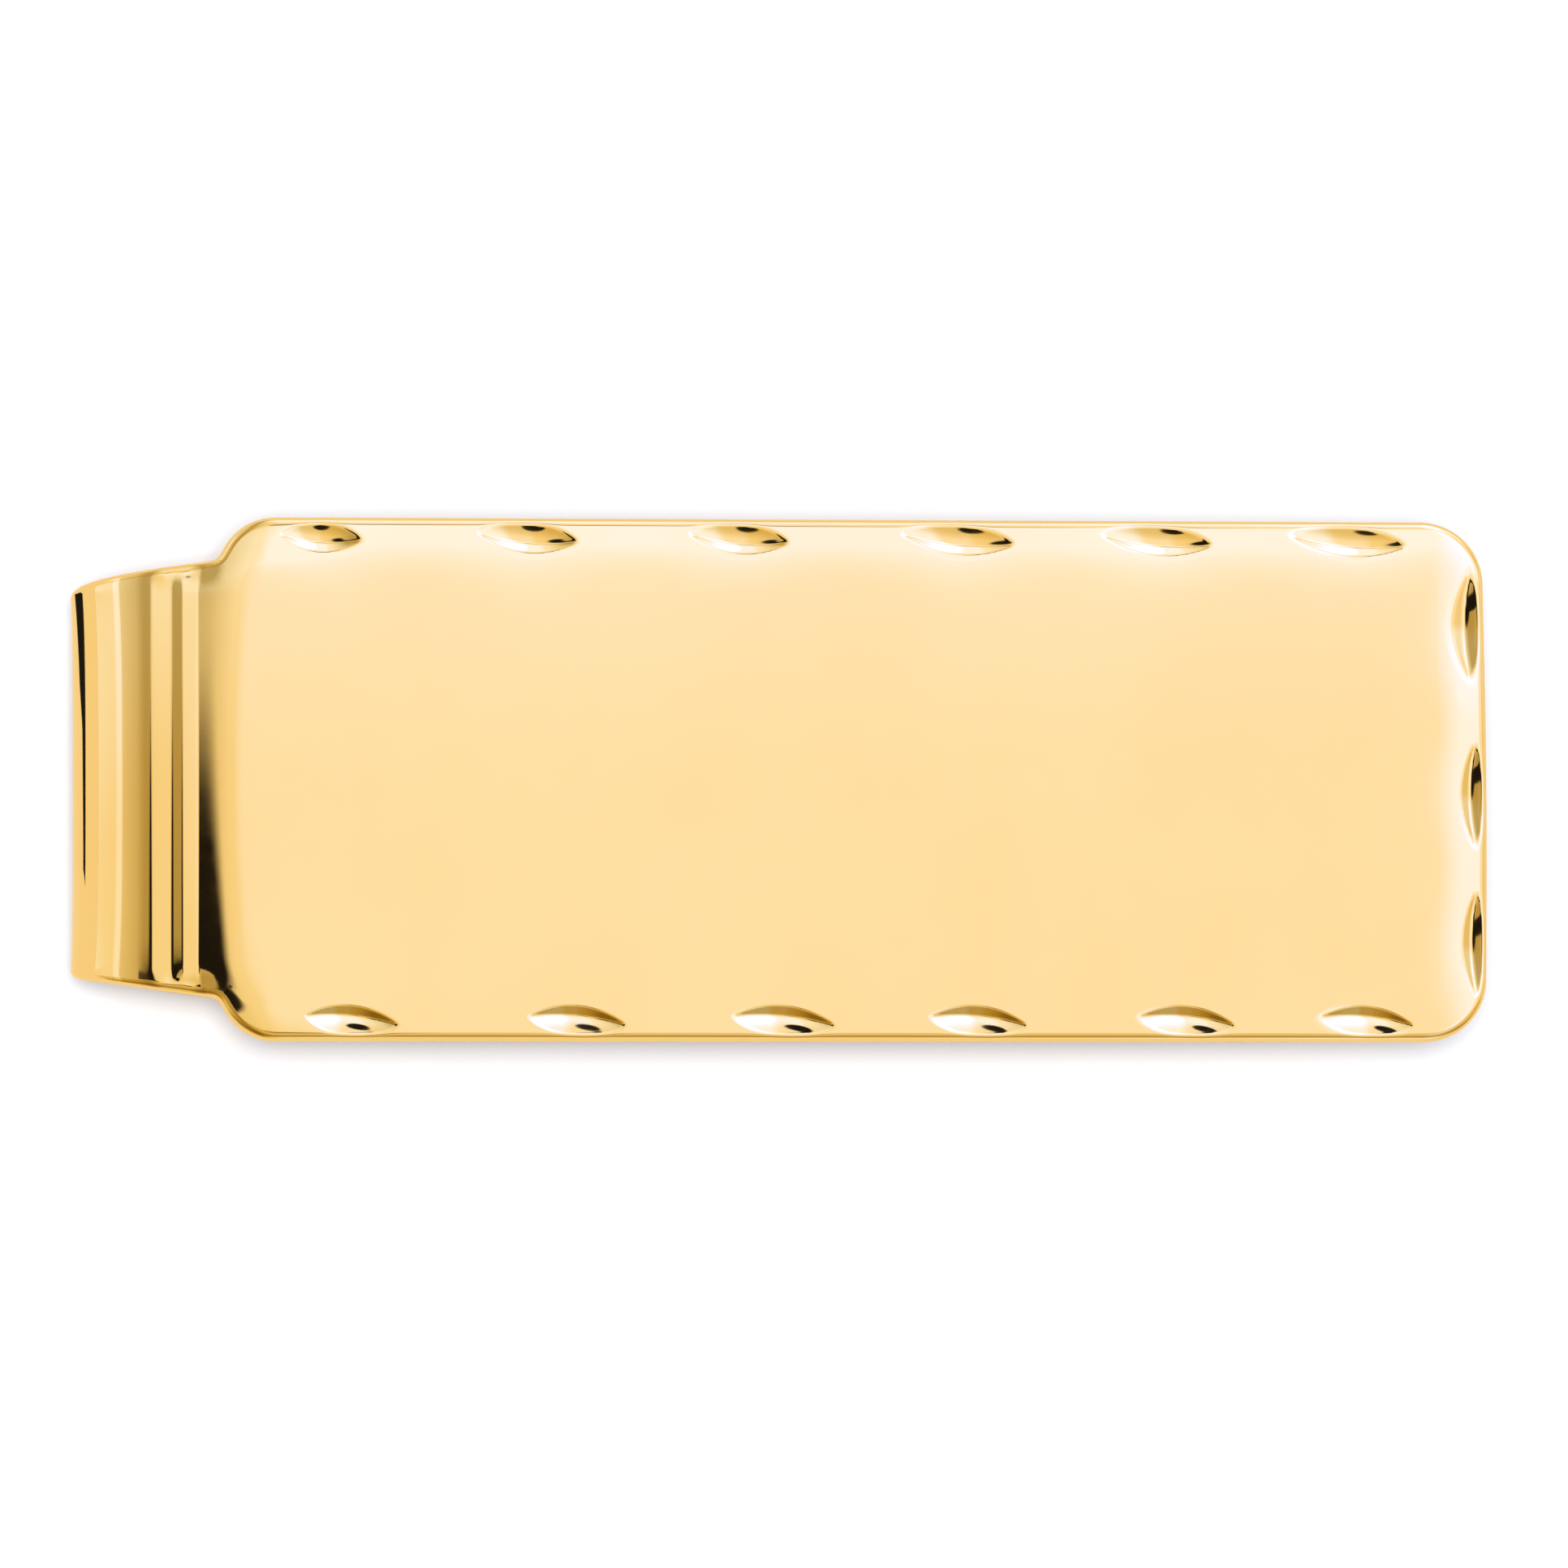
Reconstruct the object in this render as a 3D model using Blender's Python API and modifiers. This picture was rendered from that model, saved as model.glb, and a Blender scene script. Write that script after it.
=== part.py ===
"""Dress money clip: a scalloped front plate, rolled over a spring hinge that carries a rear arm.

The frame: +X runs from the hinge to the free end, +Y across the clip, +Z out of the decorated face.
The origin lies under the middle of the clip, on the surface that the clip rests on.
"""

import math

import bmesh
import bpy
from mathutils import Matrix, Vector

MM = 0.001
OBJECT_NAME = "money_clip"

# Driving dimensions of the whole clip
LENGTH = 51.5 * MM
WIDTH = 19.0 * MM
PLATE_SHEET = 0.9 * MM
ARM_SHEET = 0.8 * MM
SPRING_SHEET = 0.35 * MM
ROLL_RADIUS = 3.3 * MM
OPENING_ANGLE = math.radians(75)
PIN_RADIUS = 0.6 * MM
GAP = 0.05 * MM

# The hinge, stacked up from the surface the clip rests on: arm, spring, cam, pin, roll.
# Angles round its axis run from +X towards +Z.
CAM_RADIUS = 1.5 * MM
CAM_LIFT = 0.25 * MM
SPRING_TOP = ARM_SHEET + GAP + SPRING_SHEET
AXIS_X = ROLL_RADIUS - LENGTH / 2
AXIS_Z = SPRING_TOP + GAP + CAM_RADIUS
PLATE_TOP = AXIS_Z + ROLL_RADIUS
PLATE_UNDERSIDE = PLATE_TOP - PLATE_SHEET

# The arm's ears stand on the strip just inboard of the pin, and the fully open arm swings that foot
# round to where the roll has to end
TURN = 2 * math.pi
QUARTER = math.pi / 2
EAR_FOOT_INBOARD = 1.2 * MM
OPEN_CLEARANCE = math.radians(8.5)
OPEN_FOOT_ANGLE = TURN - math.atan2(AXIS_Z, EAR_FOOT_INBOARD) - OPENING_ANGLE

# The front plate's blank, laid flat: the roll's stretch is as long as the middle of its thickness
ROLL_SWEEP = OPEN_FOOT_ANGLE - OPEN_CLEARANCE - QUARTER
ROLL_MIDDLE_RADIUS = ROLL_RADIUS - PLATE_SHEET / 2
ROLL_STEPS = 12
TAB_END_X = AXIS_X - ROLL_MIDDLE_RADIUS * ROLL_SWEEP
FREE_CORNER_RADIUS = 2.3 * MM
FREE_END_BOW = 0.12 * MM
HINGE_CORNER_RADIUS = 2.1 * MM
NOTCH_X = 5.2 * MM - LENGTH / 2
NOTCH_HALF_WIDTH = 7.95 * MM
NOTCH_SLANT = math.radians(60)
NOTCH_FILLET = 0.45 * MM
TAB_END_HALF_WIDTH = 6.6 * MM
TAB_CORNER_RADIUS = 0.6 * MM
PLATE_EDGE_RADIUS = 0.28 * MM

# Scallops: lens-shaped cuts ground by hand along the border with a V-edged wheel, so they wander.
# Insets from the plate's edge are those of the cut's outer side, its deepest line and its inner side.
# Each scallop has its place along its edge and its length, in millimetres.
SCALLOP_DEPTH = 0.2 * MM
SCALLOP_SIDE_INSETS = (0.25 * MM, 0.9 * MM, 1.25 * MM)
SCALLOP_END_INSETS = (0.15 * MM, 0.6 * MM, 0.9 * MM)
SCALLOP_SIDE_TURN = math.radians(-5)
SCALLOPS_LEFT_EDGE = ((8.9, 3.2), (16.5, 3.7), (24.2, 3.7), (32.2, 4.2), (39.5, 4.1), (46.5, 4.3))
SCALLOPS_RIGHT_EDGE = ((9.9, 3.5), (18.1, 3.6), (25.6, 3.8), (32.7, 3.6), (40.3, 3.6), (46.9, 3.5))
SCALLOPS_FREE_END = ((5.8, 3.7), (-0.5, 3.9), (-5.9, 3.9))
WHEEL_OUTER_WIDTH = 1.5 * MM
WHEEL_INNER_WIDTH = 1.0 * MM

# The rear arm
ARM_HALF_WIDTH = 5.5 * MM
ARM_TIP_HALF_WIDTH = 4.6 * MM
ARM_TIP_CORNER_RADIUS = 4.0 * MM
ARM_RISE_START_X = 4.0 * MM
ARM_TOUCH_X = 17.0 * MM
ARM_FLARE_RADIUS = 5.0 * MM
ARM_FLARE_ANGLE = math.radians(50)
EAR_RADIUS = 2.2 * MM
EAR_FOOT_X = AXIS_X + EAR_FOOT_INBOARD
WEB_START_X = AXIS_X + 1.4 * MM
FLANGE_KNEE = (AXIS_X + 9.0 * MM, 1.7 * MM)
FLANGE_END_X = AXIS_X + 11.5 * MM
CHANNEL_STEP = 0.02 * MM

# The leaf spring and its rivets
SPRING_HALF_WIDTH = 3.5 * MM
SPRING_LENGTH = 14.0 * MM
SPRING_CORNER_RADIUS = 0.8 * MM
RIVET_RADIUS = 0.6 * MM
RIVET_HEAD_RADIUS = 1.1 * MM
RIVET_HEAD_HEIGHT = 0.4 * MM
RIVET_PLACES = (AXIS_X + 9.0 * MM, AXIS_X + 12.0 * MM)

# The hinge block and its pin
BLOCK_HALF_WIDTH = ARM_HALF_WIDTH - ARM_SHEET - 2 * GAP
BLOCK_BACK_ANGLE = math.radians(170)
BLOCK_FOOT_X = AXIS_X + 3.4 * MM
BLOCK_FOOT_Z = AXIS_Z + 0.9 * MM
BLOCK_TOP_Z = PLATE_UNDERSIDE - GAP
PIN_HEAD_RADIUS = 1.0 * MM
PIN_HEAD_HEIGHT = 0.3 * MM
PIN_HEAD_RIM = 0.15 * MM
PIN_CROWN_RADIUS = 0.6 * MM
PIN_CROWN_RISE = 0.03 * MM

ARC_STEP = math.radians(12)
ROUND_SIDES = 32
WHEEL_SIDES = 144
WELD = 1e-7
SMOOTH_ANGLE = math.radians(30)


# ---------------------------------------------------------------- outlines

def arc(centre, radius, start, end, step=ARC_STEP):
    """Points along an arc, both ends included."""
    count = max(2, math.ceil(abs(end - start) / step))
    angles = [start + (end - start) * i / count for i in range(count + 1)]
    return [(centre[0] + radius * math.cos(a), centre[1] + radius * math.sin(a)) for a in angles]


def circle(centre, radius, sides=ROUND_SIDES):
    """Points of a closed circle, the first one not repeated."""
    return arc(centre, radius, 0, TURN, TURN / sides)[:-1]


def rounded_outline(corners):
    """A closed outline through corners (x, y, radius), each rounded by its own radius."""
    outline = []
    for i, (x, y, radius) in enumerate(corners):
        corner = Vector((x, y))
        if not radius:
            outline.append((x, y))
            continue
        back = (Vector(corners[i - 1][:2]) - corner).normalized()
        onward = (Vector(corners[(i + 1) % len(corners)][:2]) - corner).normalized()
        half_angle = back.angle(onward) / 2
        centre = corner + (back + onward).normalized() * radius / math.sin(half_angle)
        first = corner + back * radius / math.tan(half_angle) - centre
        last = corner + onward * radius / math.tan(half_angle) - centre
        start = math.atan2(first.y, first.x)
        sweep = math.remainder(math.atan2(last.y, last.x) - start, TURN)
        outline += arc(centre, radius, start, start + sweep)
    return outline


def mirrored_corners(upper_corners):
    """The upper half's corners, then the same corners below the middle line, in one round."""
    return upper_corners + [(x, -y, radius) for x, y, radius in reversed(upper_corners) if y]


# ---------------------------------------------------------------- solids from outlines

def collection_named(name):
    collection = bpy.data.collections.new(name)
    bpy.context.scene.collection.children.link(collection)
    return collection


def flat_solid(name, loops, half_thickness, collection, edge_radius=0.0):
    """A mesh object from flat closed loops, thickened both ways; inner loops become holes."""
    curve = bpy.data.curves.new(name, "CURVE")
    curve.dimensions = "2D"
    curve.fill_mode = "BOTH"
    curve.extrude = half_thickness - edge_radius
    curve.bevel_depth = edge_radius
    curve.bevel_resolution = 1
    curve.offset = -edge_radius
    for loop in loops:
        spline = curve.splines.new("POLY")
        spline.points.add(len(loop) - 1)
        for point, (x, y) in zip(spline.points, loop):
            point.co = (x, y, 0, 1)
        spline.use_cyclic_u = True
    drawn = bpy.data.objects.new(name + "_curve", curve)
    collection.objects.link(drawn)
    mesh = bpy.data.meshes.new_from_object(drawn.evaluated_get(bpy.context.evaluated_depsgraph_get()))
    bpy.data.objects.remove(drawn)
    solid = bmesh.new()
    solid.from_mesh(mesh)
    bmesh.ops.remove_doubles(solid, verts=solid.verts, dist=WELD)
    bmesh.ops.recalc_face_normals(solid, faces=solid.faces)
    solid.to_mesh(mesh)
    solid.free()
    mesh.name = name
    made = bpy.data.objects.new(name, mesh)
    collection.objects.link(made)
    return made


def stand_on_side(solid):
    """Turns a solid whose outline was drawn in X and Z so that its thickness runs along Y."""
    solid.rotation_euler.x = QUARTER


def turned_solid(name, profile, collection, sides=ROUND_SIDES):
    """A solid of revolution about its own Z; the profile (radius, height) runs from top to bottom."""
    mesh = bpy.data.meshes.new(name)
    edges = [(i, i + 1) for i in range(len(profile) - 1)]
    mesh.from_pydata([(radius, 0, height) for radius, height in profile], edges, [])
    solid = bpy.data.objects.new(name, mesh)
    collection.objects.link(solid)
    screw = solid.modifiers.new("turn", "SCREW")
    screw.steps = sides
    screw.render_steps = sides
    screw.use_merge_vertices = True
    screw.merge_threshold = WELD
    return solid


def cut(solid, cutter, operation="DIFFERENCE"):
    boolean = solid.modifiers.new(cutter.name, "BOOLEAN")
    boolean.operation = operation
    boolean.object = cutter
    boolean.solver = "EXACT"
    cutter.hide_render = True
    cutter.display_type = "WIRE"


def shade_smooth(solid):
    solid.data.shade_smooth()
    solid.data.set_sharp_from_angle(angle=SMOOTH_ANGLE)


def metal(name, colour, roughness):
    material = bpy.data.materials.new(name)
    material.use_nodes = True
    shader = material.node_tree.nodes["Principled BSDF"]
    shader.inputs["Base Color"].default_value = (*colour, 1)
    shader.inputs["Metallic"].default_value = 1
    shader.inputs["Roughness"].default_value = roughness
    return material


# ---------------------------------------------------------------- the front plate

def plate_blank_outline():
    """The blank laid flat: plate, slanted shoulders and the tapering tab that gets rolled."""
    slant_run = (WIDTH / 2 - NOTCH_HALF_WIDTH) / math.tan(NOTCH_SLANT)
    free_corner_x = LENGTH / 2 - FREE_END_BOW
    return rounded_outline(mirrored_corners([
        (LENGTH / 2, 0, 0),
        (free_corner_x, WIDTH / 2, FREE_CORNER_RADIUS),
        (NOTCH_X + slant_run, WIDTH / 2, HINGE_CORNER_RADIUS),
        (NOTCH_X, NOTCH_HALF_WIDTH, NOTCH_FILLET),
        (TAB_END_X, TAB_END_HALF_WIDTH, TAB_CORNER_RADIUS),
    ]))


def roll_tab(mesh):
    """Bends the blank's tab round the hinge axis, after cutting it across at every step of the bend."""
    blank = bmesh.new()
    blank.from_mesh(mesh)
    for i in range(ROLL_STEPS):
        crease_x = AXIS_X - ROLL_MIDDLE_RADIUS * ROLL_SWEEP * i / ROLL_STEPS
        bmesh.ops.bisect_plane(
            blank,
            geom=blank.verts[:] + blank.edges[:] + blank.faces[:],
            plane_co=(crease_x, 0, 0),
            plane_no=(1, 0, 0),
            dist=WELD,
        )
    for vertex in blank.verts:
        height = vertex.co.z
        past_crest = max(0.0, AXIS_X - vertex.co.x)
        angle = past_crest / ROLL_MIDDLE_RADIUS
        radius = ROLL_MIDDLE_RADIUS + height
        vertex.co.x = max(vertex.co.x, AXIS_X) - radius * math.sin(angle)
        vertex.co.z = AXIS_Z + radius * math.cos(angle)
    bmesh.ops.recalc_face_normals(blank, faces=blank.faces)
    blank.to_mesh(mesh)
    blank.free()


def scallop_wheel(number, edge_point, heading, length, insets, cutters):
    """The V-edged wheel that grinds one scallop, standing in its cut with its axle across the edge."""
    outer_inset, deepest_inset, inner_inset = insets
    outer_slope = SCALLOP_DEPTH / (deepest_inset - outer_inset)
    inner_slope = SCALLOP_DEPTH / (inner_inset - deepest_inset)
    radius = ((length / 2) ** 2 / SCALLOP_DEPTH + SCALLOP_DEPTH) / 2
    wheel = turned_solid(f"scallop_wheel_{number}", [
        (0, WHEEL_OUTER_WIDTH),
        (radius - WHEEL_OUTER_WIDTH * outer_slope, WHEEL_OUTER_WIDTH),
        (radius, 0),
        (radius - WHEEL_INNER_WIDTH * inner_slope, -WHEEL_INNER_WIDTH),
        (0, -WHEEL_INNER_WIDTH),
    ], cutters, WHEEL_SIDES)
    along = Vector((-math.sin(heading), math.cos(heading), 0))
    outward = Vector((math.cos(heading), math.sin(heading), 0))
    upward = Vector((0, 0, 1))
    centre = edge_point - outward * deepest_inset + upward * (radius - SCALLOP_DEPTH)
    turned = Matrix((along, upward, outward)).transposed()
    wheel.matrix_world = Matrix.Translation(centre) @ turned.to_4x4()
    return wheel


def scallop_places():
    """Each scallop's point on the plate's outline, the way its edge faces, its length and its insets."""
    places = []
    for across, scallops in ((WIDTH / 2, SCALLOPS_LEFT_EDGE), (-WIDTH / 2, SCALLOPS_RIGHT_EDGE)):
        heading = math.copysign(QUARTER, across) + SCALLOP_SIDE_TURN
        for distance, length in scallops:
            edge_point = Vector((distance * MM - LENGTH / 2, across, PLATE_TOP))
            places.append((edge_point, heading, length * MM, SCALLOP_SIDE_INSETS))
    for across, length in SCALLOPS_FREE_END:
        edge_point = Vector((LENGTH / 2, across * MM, PLATE_TOP))
        places.append((edge_point, 0.0, length * MM, SCALLOP_END_INSETS))
    return places


def make_front_plate(parts, cutters, gold):
    plate = flat_solid("front_plate", [plate_blank_outline()], PLATE_SHEET / 2, parts, PLATE_EDGE_RADIUS)
    roll_tab(plate.data)
    for number, place in enumerate(scallop_places(), 1):
        cut(plate, scallop_wheel(number, *place, cutters))
    plate.data.materials.append(gold)
    shade_smooth(plate)


# ---------------------------------------------------------------- the hinge

def make_hinge_block(parts, brass):
    """Knuckle soldered under the neck: it fills the roll, and its underside has the cam flat."""
    axis = (AXIS_X, AXIS_Z)
    flat_half_angle = math.acos((CAM_RADIUS - CAM_LIFT) / CAM_RADIUS)
    fill_radius = BLOCK_TOP_Z - AXIS_Z
    outline = arc(axis, fill_radius, QUARTER, BLOCK_BACK_ANGLE)
    outline += arc(axis, CAM_RADIUS, BLOCK_BACK_ANGLE, 3 * QUARTER - flat_half_angle)
    outline += arc(axis, CAM_RADIUS, 3 * QUARTER + flat_half_angle, TURN)
    outline += [
        (AXIS_X + CAM_RADIUS, BLOCK_FOOT_Z),
        (BLOCK_FOOT_X, BLOCK_FOOT_Z),
        (BLOCK_FOOT_X, BLOCK_TOP_Z),
    ]
    bore = circle(axis, PIN_RADIUS + GAP)
    block = flat_solid("hinge_block", [outline, bore], BLOCK_HALF_WIDTH, parts)
    stand_on_side(block)
    block.data.materials.append(brass)
    shade_smooth(block)


def make_hinge_pin(parts, brass):
    """A straight pin whose two ends are peened over the arm's ears."""
    shank = ARM_HALF_WIDTH + GAP
    top = shank + PIN_HEAD_HEIGHT
    upper = [
        (0, top),
        (PIN_CROWN_RADIUS, top - PIN_CROWN_RISE),
        (PIN_HEAD_RADIUS, shank + PIN_HEAD_RIM),
        (PIN_HEAD_RADIUS, shank),
        (PIN_RADIUS, shank),
    ]
    profile = upper + [(radius, -height) for radius, height in reversed(upper)]
    pin = turned_solid("hinge_pin", profile, parts)
    pin.location = (AXIS_X, 0, AXIS_Z)
    pin.rotation_euler.x = QUARTER
    pin.data.materials.append(brass)
    shade_smooth(pin)


# ---------------------------------------------------------------- the rear arm

def arm_centre_line():
    """Points (x, z, heading) along the middle of the arm's thickness, from the hinge to the tip."""
    start_z = ARM_SHEET / 2
    touch_z = PLATE_UNDERSIDE - GAP - ARM_SHEET / 2
    rise = touch_z - start_z
    run = ARM_TOUCH_X - ARM_RISE_START_X
    slope = 2 * math.atan(rise / run)
    bend_radius = run / (2 * math.sin(slope))
    line = [(EAR_FOOT_X, start_z, 0.0)]
    centre = (ARM_RISE_START_X, start_z + bend_radius)
    line += [(x, z, heading) for (x, z), heading in bend(centre, bend_radius, 0, slope)]
    centre = (ARM_TOUCH_X, touch_z - bend_radius)
    line += [(x, z, heading) for (x, z), heading in bend(centre, -bend_radius, slope, 0)]
    centre = (ARM_TOUCH_X, touch_z - ARM_FLARE_RADIUS)
    line += [(x, z, heading) for (x, z), heading in bend(centre, -ARM_FLARE_RADIUS, 0, -ARM_FLARE_ANGLE)[1:]]
    return line


def bend(centre, radius, start_heading, end_heading):
    """Points and headings round a bend; the radius is negative where the strip bends downwards."""
    points = arc(centre, radius, start_heading - QUARTER, end_heading - QUARTER, ARC_STEP / 2)
    count = len(points) - 1
    headings = [start_heading + (end_heading - start_heading) * i / count for i in range(count + 1)]
    return list(zip(points, headings))


def arm_side_outline():
    """The arm seen from the side: strip, flanges and the round ears about the hinge pin."""
    half = ARM_SHEET / 2
    line = arm_centre_line()
    underside = [(x + half * math.sin(a), z - half * math.cos(a)) for x, z, a in line]
    upper_side = [(x - half * math.sin(a), z + half * math.cos(a)) for x, z, a in line[1:]]
    knee = Vector((FLANGE_KNEE[0] - AXIS_X, FLANGE_KNEE[1] - AXIS_Z))
    ear_start = math.atan2(knee.y, knee.x) + math.acos(EAR_RADIUS / knee.length)
    ear_end = TURN - math.acos((EAR_FOOT_X - AXIS_X) / EAR_RADIUS)
    ear = arc((AXIS_X, AXIS_Z), EAR_RADIUS, ear_start, ear_end)
    return underside + upper_side[::-1] + [(FLANGE_END_X, ARM_SHEET), FLANGE_KNEE] + ear


def arm_plan_outline():
    """The arm seen from above, wider than the ears at the hinge end so that it only trims the rest."""
    tip_x = arm_centre_line()[-1][0] + ARM_SHEET / 2
    beyond_ears = AXIS_X - 2 * EAR_RADIUS
    return rounded_outline(mirrored_corners([
        (tip_x, ARM_TIP_HALF_WIDTH, ARM_TIP_CORNER_RADIUS),
        (ARM_RISE_START_X, ARM_TIP_HALF_WIDTH + (ARM_HALF_WIDTH - ARM_TIP_HALF_WIDTH) / 2, 0),
        (FLANGE_END_X, ARM_HALF_WIDTH, 0),
        (beyond_ears, ARM_HALF_WIDTH, 0),
    ]))


def channel_outline():
    """The space between the ears and flanges, seen from the side; it ends at the web's hinge end."""
    left = AXIS_X - 2 * EAR_RADIUS
    floor = ARM_SHEET - CHANNEL_STEP
    right = FLANGE_END_X + ARM_SHEET / 2
    return [
        (left, -ARM_SHEET),
        (WEB_START_X, -ARM_SHEET),
        (WEB_START_X, floor),
        (right, floor),
        (right, PLATE_TOP),
        (left, PLATE_TOP),
    ]


def make_rear_arm(parts, cutters, gold):
    bore = circle((AXIS_X, AXIS_Z), PIN_RADIUS + GAP)
    arm = flat_solid("rear_arm", [arm_side_outline(), bore], WIDTH / 2, parts)
    stand_on_side(arm)
    plan = flat_solid("arm_plan", [arm_plan_outline()], PLATE_TOP * 2, cutters)
    cut(arm, plan, "INTERSECT")
    channel = flat_solid("arm_channel", [channel_outline()], ARM_HALF_WIDTH - ARM_SHEET, cutters)
    stand_on_side(channel)
    cut(arm, channel)
    for number, place in enumerate(RIVET_PLACES, 1):
        loop = circle((place, 0), RIVET_RADIUS + GAP)
        cut(arm, flat_solid(f"arm_rivet_hole_{number}", [loop], ARM_SHEET * 2, cutters))
    arm.data.materials.append(gold)
    shade_smooth(arm)


# ---------------------------------------------------------------- the leaf spring

def make_leaf_spring(parts, steel):
    """A flat steel strip from under the cam to past its rivets, drawn as the cam pushes it down."""
    outline = rounded_outline(mirrored_corners([
        (AXIS_X + SPRING_LENGTH, SPRING_HALF_WIDTH, SPRING_CORNER_RADIUS),
        (AXIS_X, SPRING_HALF_WIDTH, SPRING_CORNER_RADIUS),
    ]))
    holes = [circle((place, 0), RIVET_RADIUS + GAP) for place in RIVET_PLACES]
    spring = flat_solid("leaf_spring", [outline] + holes, SPRING_SHEET / 2, parts)
    spring.location.z = SPRING_TOP - SPRING_SHEET / 2
    spring.data.materials.append(steel)
    shade_smooth(spring)


def make_spring_rivets(parts, brass):
    """Domed above the spring and finished flush with the arm's underside."""
    seat = SPRING_TOP + GAP
    flush = GAP / 2
    dome = arc((0, 0), 1.0, QUARTER, 0.0, QUARTER / 4)
    head = [(RIVET_HEAD_RADIUS * x, seat + RIVET_HEAD_HEIGHT * z) for x, z in dome]
    profile = head + [(RIVET_RADIUS, seat), (RIVET_RADIUS, flush), (0, flush)]
    profile[0] = (0, profile[0][1])
    for number, place in enumerate(RIVET_PLACES, 1):
        rivet = turned_solid(f"spring_rivet_{number}", profile, parts)
        rivet.location.x = place
        rivet.data.materials.append(brass)
        shade_smooth(rivet)


# ---------------------------------------------------------------- the clip

def hang_on_hinge(parts, names):
    """Gives the pieces that swing an empty on the hinge axis as their parent."""
    pivot = bpy.data.objects.new("arm_hinge_axis", None)
    parts.objects.link(pivot)
    pivot.location = (AXIS_X, 0, AXIS_Z)
    bpy.context.view_layer.update()
    for name in names:
        piece = bpy.data.objects[name]
        piece.parent = pivot
        piece.matrix_parent_inverse = pivot.matrix_world.inverted()


def main():
    for leftover in list(bpy.data.objects):
        bpy.data.objects.remove(leftover)
    parts = collection_named(OBJECT_NAME)
    cutters = collection_named("cutters")
    gold = metal("polished_gold_plate", (1.0, 0.72, 0.33), 0.05)
    brass = metal("turned_brass", (0.87, 0.62, 0.28), 0.25)
    steel = metal("spring_steel", (0.62, 0.62, 0.64), 0.3)
    make_front_plate(parts, cutters, gold)
    make_hinge_block(parts, brass)
    make_hinge_pin(parts, brass)
    make_rear_arm(parts, cutters, gold)
    make_leaf_spring(parts, steel)
    make_spring_rivets(parts, brass)
    hang_on_hinge(parts, ["rear_arm", "leaf_spring", "spring_rivet_1", "spring_rivet_2"])


main()
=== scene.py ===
import math

import bpy
import numpy as np
from mathutils import Matrix, Vector
from mathutils.geometry import delaunay_2d_cdt


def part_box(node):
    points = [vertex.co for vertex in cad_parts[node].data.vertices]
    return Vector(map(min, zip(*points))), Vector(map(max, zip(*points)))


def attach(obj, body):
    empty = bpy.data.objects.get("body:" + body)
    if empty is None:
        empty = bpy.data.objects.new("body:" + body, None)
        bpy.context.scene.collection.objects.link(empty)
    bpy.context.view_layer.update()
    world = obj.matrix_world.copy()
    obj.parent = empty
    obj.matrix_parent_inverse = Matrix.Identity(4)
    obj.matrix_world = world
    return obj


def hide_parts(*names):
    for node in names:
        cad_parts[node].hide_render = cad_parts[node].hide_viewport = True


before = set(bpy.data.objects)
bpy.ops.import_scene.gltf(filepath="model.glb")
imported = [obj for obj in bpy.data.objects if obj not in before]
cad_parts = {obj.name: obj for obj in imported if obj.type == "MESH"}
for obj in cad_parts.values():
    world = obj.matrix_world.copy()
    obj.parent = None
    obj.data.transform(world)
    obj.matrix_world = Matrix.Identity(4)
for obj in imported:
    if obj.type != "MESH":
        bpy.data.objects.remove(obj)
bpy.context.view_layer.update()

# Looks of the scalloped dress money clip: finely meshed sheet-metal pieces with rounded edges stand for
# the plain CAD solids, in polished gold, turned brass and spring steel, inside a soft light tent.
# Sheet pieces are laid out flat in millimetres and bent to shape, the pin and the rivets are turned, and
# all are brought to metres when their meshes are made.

MM = 0.001


def box_in_mm(node):
    low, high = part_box(node)
    return low / MM, high / MM


# Sizes read from the frame
PLATE_LOW, PLATE_HIGH = box_in_mm("front_plate")
PIN_LOW, PIN_HIGH = box_in_mm("hinge_pin")
SPRING_LOW, SPRING_HIGH = box_in_mm("leaf_spring")
BLOCK_HIGH = box_in_mm("hinge_block")[1]
LEFT_END = PLATE_LOW.x
RIGHT_END = PLATE_HIGH.x
HALF_WIDTH = PLATE_HIGH.y
PLATE_TOP = PLATE_HIGH.z
AXIS_X = (PIN_LOW.x + PIN_HIGH.x) / 2
AXIS_Z = (PIN_LOW.z + PIN_HIGH.z) / 2
ROLL_RADIUS = AXIS_X - LEFT_END

# The front plate's sheet and its blank laid flat: the CAD's, but for a slightly wider tab end
PLATE_SHEET = 0.9
GAP = 0.05
ROLL_SWEEP = math.radians(120)
ROLL_MIDDLE_RADIUS = ROLL_RADIUS - PLATE_SHEET / 2
TAB_END_X = AXIS_X - ROLL_MIDDLE_RADIUS * ROLL_SWEEP
FREE_CORNER_RADIUS = 2.3
FREE_END_BOW = 0.12
FREE_END_RADIUS = 300.0
HINGE_CORNER_RADIUS = 2.1
NOTCH_X = LEFT_END + 5.2
NOTCH_HALF_WIDTH = 7.95
NOTCH_SLANT = math.radians(60)
NOTCH_FILLET = 0.45
TAB_END_HALF_WIDTH = 6.85
TAB_CORNER_RADIUS = 0.6

# The polished border: a round shoulder, a soft pillow inside it, and a slight crown over the whole face
SHOULDER_RADIUS = 0.3
BACK_EDGE_RADIUS = 0.15
PILLOW_WIDTH = 2.4
PILLOW_DROP = 0.08
PILLOW_CORNER_BLEND = 1.5
CROWN_PER_MM2 = 0.00035
NECK_CROWN_PER_MM2 = 0.0016
ROLL_WAIST = 0.08

# The raised face rounds off towards the neck, and round the two corners beside it
FACE_START = 4.5
FACE_END_SLOPE = math.tan(math.radians(7.3))
FACE_END_WIDTH = 2.0
FACE_END_CORNER = 2.6
FACE_END_SIDE_INSET = 0.25

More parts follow.
